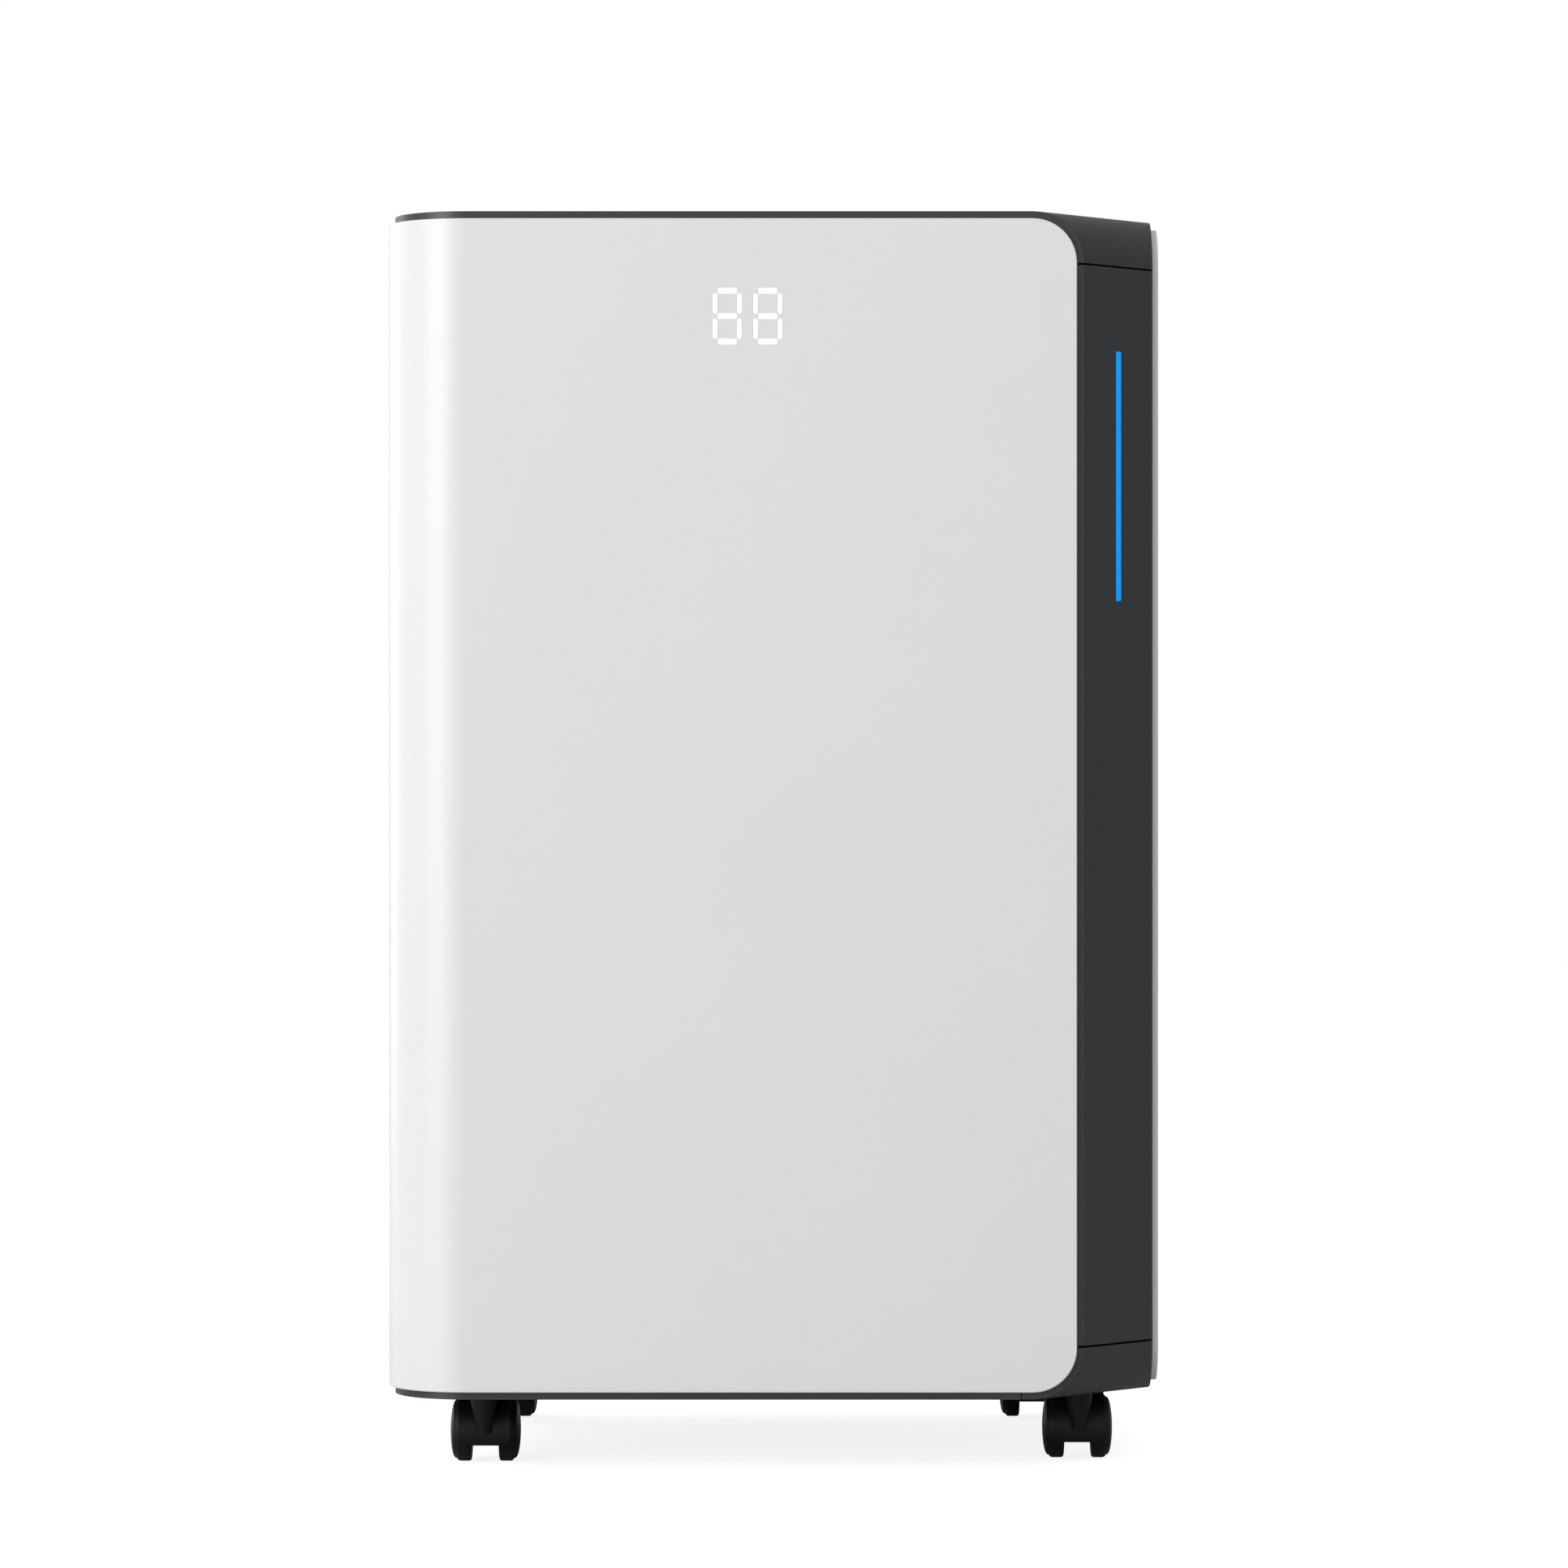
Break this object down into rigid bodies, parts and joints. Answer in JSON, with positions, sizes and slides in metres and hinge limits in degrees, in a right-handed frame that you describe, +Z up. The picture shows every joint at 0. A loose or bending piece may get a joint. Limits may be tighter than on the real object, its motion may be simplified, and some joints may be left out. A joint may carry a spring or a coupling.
{
  "type": "dehumidifier",
  "caption": "Tall box dehumidifier on casters: two wrap-round light shells on a dark body with chamfered corners, light strip, digits, top air outlet, rear tank and intake.",
  "frame": {"origin": "on the floor under the centre of the cabinet's bounding box", "axes": "+Z up; the front face looks along -Y; +X is to the right seen from the front"},
  "size_m": [0.36, 0.276, 0.584],
  "materials": {
    "white_abs": "white moulded ABS, satin",
    "dark_abs": "dark grey moulded ABS, fine texture",
    "grey_abs": "mid grey moulded ABS",
    "soft_black": "soft-touch grip",
    "gloss_black": "gloss black ABS",
    "blue_guide": "blue lit acrylic light guide",
    "lit_white": "white lit acrylic light guide",
    "circuit_board": "green solder mask on glass epoxy",
    "plated_steel": "zinc-plated steel",
    "black_enamel": "black enamelled steel",
    "copper": "drawn copper tube",
    "fins": "aluminium fins on copper tube",
    "smoked_tank": "smoked polypropylene",
    "foam": "closed-cell float foam",
    "rubber": "rubber grommet",
    "caster_nylon": "black nylon",
    "caster_tread": "dark nylon wheel, satin"
  },
  "bodies": {
    "cabinet": {"base_pan": "dark_abs", "base_corner_front": "dark_abs", "base_corner_rear": "dark_abs", "front_shell": "white_abs", "rear_shell": "white_abs", "corner_panel_front": "dark_abs", "corner_panel_rear": "dark_abs", "top_cover": "dark_abs", "light_guide": "blue_guide", "light_board": "circuit_board", "digit_guide": "lit_white", "display_board": "circuit_board", "control_plate": "gloss_black", "control_board": "circuit_board", "louver_motor": "plated_steel", "mid_deck": "grey_abs", "fan_housing": "grey_abs", "fan_motor": "plated_steel", "condenser_coil": "fins", "evaporator_coil": "fins", "compressor": "black_enamel", "compressor_foot_1": "rubber", "compressor_foot_2": "rubber", "compressor_foot_3": "rubber", "discharge_pipe": "copper", "suction_pipe": "copper", "power_box": "grey_abs", "run_capacitor": "plated_steel", "power_inlet": "gloss_black"},
    "tank": {"water_tank": "smoked_tank", "tank_panel": "white_abs", "tank_lid": "grey_abs"},
    "tank_float": {"tank_float": "foam"},
    "drain_cap": {"drain_cap": "dark_abs"},
    "filter_door": {"filter_door": "white_abs", "air_filter": "grey_abs"},
    "carry_handle": {"carry_handle": "soft_black"},
    "fan_wheel": {"fan_wheel": "grey_abs"},
    "button_power": {"button_power": "gloss_black"},
    "button_fan": {"button_fan": "gloss_black"},
    "button_timer": {"button_timer": "gloss_black"},
    "button_humidity": {"button_humidity": "gloss_black"},
    "louver_vane_1": {"louver_vane_1": "dark_abs"},
    "louver_vane_2": {"louver_vane_2": "dark_abs"},
    "louver_vane_3": {"louver_vane_3": "dark_abs"},
    "louver_vane_4": {"louver_vane_4": "dark_abs"},
    "caster_front_left": {"caster_front_left_fork": "caster_nylon"},
    "caster_front_left_wheel_left": {"caster_front_left_wheel_left": "caster_tread"},
    "caster_front_left_wheel_right": {"caster_front_left_wheel_right": "caster_tread"},
    "caster_front_right": {"caster_front_right_fork": "caster_nylon"},
    "caster_front_right_wheel_left": {"caster_front_right_wheel_left": "caster_tread"},
    "caster_front_right_wheel_right": {"caster_front_right_wheel_right": "caster_tread"},
    "caster_rear_left": {"caster_rear_left_fork": "caster_nylon"},
    "caster_rear_left_wheel_left": {"caster_rear_left_wheel_left": "caster_tread"},
    "caster_rear_left_wheel_right": {"caster_rear_left_wheel_right": "caster_tread"},
    "caster_rear_right": {"caster_rear_right_fork": "caster_nylon"},
    "caster_rear_right_wheel_left": {"caster_rear_right_wheel_left": "caster_tread"},
    "caster_rear_right_wheel_right": {"caster_rear_right_wheel_right": "caster_tread"}
  },
  "joints": [
    {"name": "tank_slide", "type": "slide", "parent": "cabinet", "child": "tank", "axis": [0, 1, 0], "range_m": [0, 0.235]},
    {"name": "float_swing", "type": "hinge", "parent": "tank", "child": "tank_float", "pos_m": [-0.04895, -0.04, 0.2235], "axis": [1, 0, 0], "range_deg": [0, 22]},
    {"name": "drain_cap_pull", "type": "slide", "parent": "cabinet", "child": "drain_cap", "axis": [0, 1, 0], "range_m": [0, 0.03]},
    {"name": "filter_door_hinge", "type": "hinge", "parent": "cabinet", "child": "filter_door", "pos_m": [0, 0.1365, 0.265], "axis": [-1, 0, 0], "range_deg": [0, 90]},
    {"name": "handle_hinge", "type": "hinge", "parent": "cabinet", "child": "carry_handle", "pos_m": [0, -0.018, 0.5765], "axis": [-1, 0, 0], "range_deg": [0, 90]},
    {"name": "fan_spin", "type": "hinge", "parent": "cabinet", "child": "fan_wheel", "pos_m": [0, 0.038, 0.3555], "axis": [0, 1, 0], "continuous": true},
    {"name": "button_power_press", "type": "slide", "parent": "cabinet", "child": "button_power", "axis": [0, 0, -1], "range_m": [0, 0.0008], "stiffness_N_per_m": 600, "springref_m": -0.0005},
    {"name": "button_fan_press", "type": "slide", "parent": "cabinet", "child": "button_fan", "axis": [0, 0, -1], "range_m": [0, 0.0008], "stiffness_N_per_m": 600, "springref_m": -0.0005},
    {"name": "button_timer_press", "type": "slide", "parent": "cabinet", "child": "button_timer", "axis": [0, 0, -1], "range_m": [0, 0.0008], "stiffness_N_per_m": 600, "springref_m": -0.0005},
    {"name": "button_humidity_press", "type": "slide", "parent": "cabinet", "child": "button_humidity", "axis": [0, 0, -1], "range_m": [0, 0.0008], "stiffness_N_per_m": 600, "springref_m": -0.0005},
    {"name": "vane_1_tilt", "type": "hinge", "parent": "cabinet", "child": "louver_vane_1", "pos_m": [0, 0.01287, 0.57493], "axis": [1, 0, 0], "range_deg": [0, 75]},
    {"name": "vane_2_tilt", "type": "hinge", "parent": "cabinet", "child": "louver_vane_2", "pos_m": [0, 0.03062, 0.57493], "axis": [1, 0, 0], "range_deg": [0, 75]},
    {"name": "vane_3_tilt", "type": "hinge", "parent": "cabinet", "child": "louver_vane_3", "pos_m": [0, 0.04838, 0.57493], "axis": [1, 0, 0], "range_deg": [0, 75]},
    {"name": "vane_4_tilt", "type": "hinge", "parent": "cabinet", "child": "louver_vane_4", "pos_m": [0, 0.06613, 0.57493], "axis": [1, 0, 0], "range_deg": [0, 75]},
    {"name": "caster_front_left_swivel", "type": "hinge", "parent": "cabinet", "child": "caster_front_left", "pos_m": [-0.136, -0.0942, 0.035], "axis": [0, 0, 1], "continuous": true},
    {"name": "caster_front_left_left_roll", "type": "hinge", "parent": "caster_front_left", "child": "caster_front_left_wheel_left", "pos_m": [-0.136, -0.0762, 0.015], "axis": [1, 0, 0], "continuous": true},
    {"name": "caster_front_left_right_roll", "type": "hinge", "parent": "caster_front_left", "child": "caster_front_left_wheel_right", "pos_m": [-0.136, -0.0762, 0.015], "axis": [1, 0, 0], "continuous": true},
    {"name": "caster_front_right_swivel", "type": "hinge", "parent": "cabinet", "child": "caster_front_right", "pos_m": [0.1438, -0.0804, 0.035], "axis": [0, 0, 1], "continuous": true},
    {"name": "caster_front_right_left_roll", "type": "hinge", "parent": "caster_front_right", "child": "caster_front_right_wheel_left", "pos_m": [0.1438, -0.0624, 0.015], "axis": [1, 0, 0], "continuous": true},
    {"name": "caster_front_right_right_roll", "type": "hinge", "parent": "caster_front_right", "child": "caster_front_right_wheel_right", "pos_m": [0.1438, -0.0624, 0.015], "axis": [1, 0, 0], "continuous": true},
    {"name": "caster_rear_left_swivel", "type": "hinge", "parent": "cabinet", "child": "caster_rear_left", "pos_m": [-0.136, 0.0955, 0.035], "axis": [0, 0, 1], "continuous": true},
    {"name": "caster_rear_left_left_roll", "type": "hinge", "parent": "caster_rear_left", "child": "caster_rear_left_wheel_left", "pos_m": [-0.136, 0.1135, 0.015], "axis": [1, 0, 0], "continuous": true},
    {"name": "caster_rear_left_right_roll", "type": "hinge", "parent": "caster_rear_left", "child": "caster_rear_left_wheel_right", "pos_m": [-0.136, 0.1135, 0.015], "axis": [1, 0, 0], "continuous": true},
    {"name": "caster_rear_right_swivel", "type": "hinge", "parent": "cabinet", "child": "caster_rear_right", "pos_m": [0.13, 0.0955, 0.035], "axis": [0, 0, 1], "continuous": true},
    {"name": "caster_rear_right_left_roll", "type": "hinge", "parent": "caster_rear_right", "child": "caster_rear_right_wheel_left", "pos_m": [0.13, 0.1135, 0.015], "axis": [1, 0, 0], "continuous": true},
    {"name": "caster_rear_right_right_roll", "type": "hinge", "parent": "caster_rear_right", "child": "caster_rear_right_wheel_right", "pos_m": [0.13, 0.1135, 0.015], "axis": [1, 0, 0], "continuous": true}
  ],
  "couplings": [
    {"joint": "vane_2_tilt", "follows": "vane_1_tilt", "ratio": 1},
    {"joint": "vane_3_tilt", "follows": "vane_1_tilt", "ratio": 1},
    {"joint": "vane_4_tilt", "follows": "vane_1_tilt", "ratio": 1}
  ]
}
